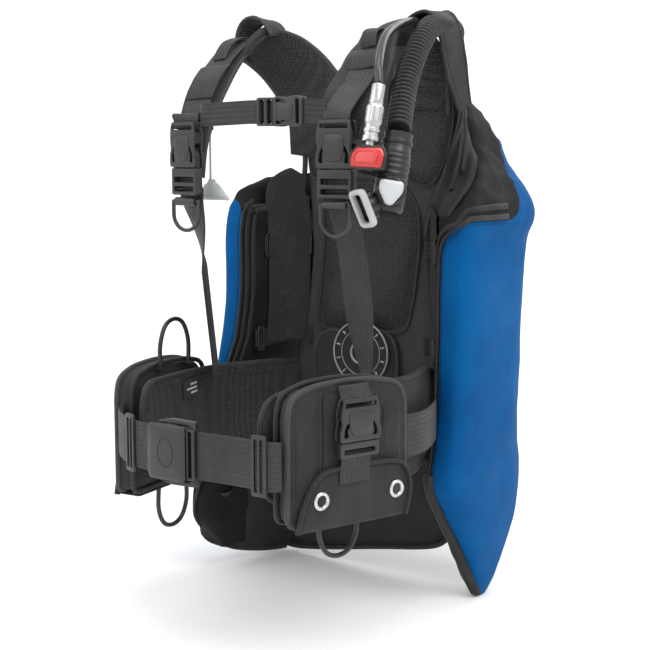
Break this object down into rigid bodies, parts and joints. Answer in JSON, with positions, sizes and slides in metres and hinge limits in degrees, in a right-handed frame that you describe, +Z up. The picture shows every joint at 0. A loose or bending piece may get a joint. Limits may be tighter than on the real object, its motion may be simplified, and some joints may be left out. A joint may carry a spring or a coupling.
{
  "type": "buoyancy compensator vest",
  "caption": "Back-inflation diving buoyancy vest with padded backpack, blue wing, tank band, quick-release weight pockets, waist belt and power inflator.",
  "frame": {"origin": "on the diving cylinder's axis, at the middle height of the tank band", "axes": "+X to the wearer's left, +Y from the wearer's back to the tank, +Z up along the tank"},
  "size_m": [0.3739, 0.5812, 0.6781],
  "materials": {
    "black_nylon": "matt woven nylon",
    "air_mesh": "spacer mesh over foam",
    "blue_nylon": "satin coated nylon",
    "webbing": "ribbed polyester webbing",
    "bladder_film": "satin film",
    "moulded_plastic": "satin moulded",
    "rubber": "satin",
    "label_fabric": "woven label",
    "steel": "polished",
    "chrome": "polished",
    "grey_plastic": "satin moulded",
    "red_plastic": "gloss moulded"
  },
  "bodies": {
    "vest": {"back_panel": "black_nylon", "back_pad": "air_mesh", "labels": "label_fabric", "wing_shell": "blue_nylon", "bladder": "bladder_film", "backplate": "moulded_plastic", "tank_grip_pads": "rubber", "tank_band": "webbing", "cam_frame": "moulded_plastic", "steel_hardware": "steel", "carry_handle": "black_nylon", "shoulder_strap_left": "air_mesh", "shoulder_strap_right": "air_mesh", "shoulder_webbing": "webbing", "webbing_slides": "moulded_plastic", "hose_sleeve": "black_nylon", "shoulder_buckle_females": "moulded_plastic", "lower_webbing_left": "webbing", "lower_webbing_right": "webbing", "chest_strap_left": "webbing", "chest_strap_right": "webbing", "chest_buckle_female": "moulded_plastic", "cummerbund_left": "black_nylon", "cummerbund_right": "black_nylon", "waist_belt": "webbing", "waist_belt_front_left": "webbing", "waist_buckle_female": "moulded_plastic", "pocket_left": "black_nylon", "pocket_right": "black_nylon", "pocket_buckle_females": "moulded_plastic", "bungee_loops": "webbing", "compression_straps": "webbing", "dump_valves": "moulded_plastic", "hose_elbow": "moulded_plastic", "corrugated_hose": "rubber", "hose_clamps": "moulded_plastic", "inflator_body": "moulded_plastic", "mouthpiece": "grey_plastic", "lp_nipple": "chrome", "lp_hose": "rubber", "lp_fitting": "chrome"},
    "cam_lever": {"cam_lever": "moulded_plastic"},
    "shoulder_clip_left": {"shoulder_buckle_male_left": "moulded_plastic"},
    "shoulder_clip_right": {"shoulder_buckle_male_right": "moulded_plastic"},
    "d_ring_left": {"d_ring_left": "moulded_plastic"},
    "d_ring_right": {"d_ring_right": "moulded_plastic"},
    "chest_clip": {"chest_buckle_male": "moulded_plastic"},
    "waist_clip": {"waist_buckle_male": "moulded_plastic"},
    "weight_pouch_left": {"pouch_left": "black_nylon", "flap_grommets_left": "steel", "pocket_buckle_male_left": "moulded_plastic"},
    "weight_pouch_right": {"pouch_right": "black_nylon", "flap_grommets_right": "steel", "pocket_buckle_male_right": "moulded_plastic"},
    "inflate_button": {"inflate_button": "red_plastic"},
    "deflate_button": {"deflate_button": "grey_plastic"},
    "coupling_sleeve": {"lp_sleeve": "chrome"},
    "shoulder_pull": {"shoulder_pull_toggle": "grey_plastic", "shoulder_pull_cord": "webbing"},
    "rear_pull": {"rear_dump_knob": "grey_plastic"}
  },
  "joints": [
    {"name": "cam_lever_turn", "type": "hinge", "parent": "vest", "child": "cam_lever", "pos_m": [0.06309, 0.08458, 0], "axis": [0, 0, -1], "range_deg": [0, 120]},
    {"name": "shoulder_release_left", "type": "slide", "parent": "vest", "child": "shoulder_clip_left", "axis": [0, 0, -1], "range_m": [0, 0.03], "deforming": ["lower_webbing_left"]},
    {"name": "shoulder_release_right", "type": "slide", "parent": "vest", "child": "shoulder_clip_right", "axis": [0, 0, -1], "range_m": [0, 0.03], "deforming": ["lower_webbing_right"]},
    {"name": "d_ring_swing_left", "type": "hinge", "parent": "shoulder_clip_left", "child": "d_ring_left", "pos_m": [0.093, -0.345, 0.168], "axis": [1, 0, 0], "range_deg": [-85, 0]},
    {"name": "d_ring_swing_right", "type": "hinge", "parent": "shoulder_clip_right", "child": "d_ring_right", "pos_m": [-0.106, -0.345, 0.168], "axis": [1, 0, 0], "range_deg": [-85, 0]},
    {"name": "chest_release", "type": "slide", "parent": "vest", "child": "chest_clip", "axis": [-1, 0, 0], "range_m": [0, 0.024], "deforming": ["chest_strap_right"]},
    {"name": "waist_release", "type": "slide", "parent": "vest", "child": "waist_clip", "axis": [1, 0, 0], "range_m": [0, 0.034], "deforming": ["waist_belt_front_left"]},
    {"name": "pouch_release_left", "type": "slide", "parent": "vest", "child": "weight_pouch_left", "axis": [0, 0, -1], "range_m": [0, 0.12]},
    {"name": "pouch_release_right", "type": "slide", "parent": "vest", "child": "weight_pouch_right", "axis": [0, 0, -1], "range_m": [0, 0.12]},
    {"name": "inflate_press", "type": "slide", "parent": "vest", "child": "inflate_button", "axis": [0, 0.9613, -0.2756], "range_m": [0, 0.004], "stiffness_N_per_m": 400, "springref_m": -0.002},
    {"name": "deflate_press", "type": "slide", "parent": "vest", "child": "deflate_button", "axis": [-0.5592, 0.7969, -0.2285], "range_m": [0, 0.004], "stiffness_N_per_m": 400, "springref_m": -0.002},
    {"name": "coupling_pull", "type": "slide", "parent": "vest", "child": "coupling_sleeve", "axis": [0, 0.2756, 0.9613], "range_m": [0, 0.004], "stiffness_N_per_m": 600, "springref_m": -0.002},
    {"name": "shoulder_dump_pull", "type": "slide", "parent": "vest", "child": "shoulder_pull", "axis": [0, 0, -1], "range_m": [0, 0.02], "stiffness_N_per_m": 150, "springref_m": -0.006},
    {"name": "rear_dump_pull", "type": "slide", "parent": "vest", "child": "rear_pull", "axis": [0, 1, 0], "range_m": [0, 0.004], "stiffness_N_per_m": 400, "springref_m": -0.002}
  ]
}
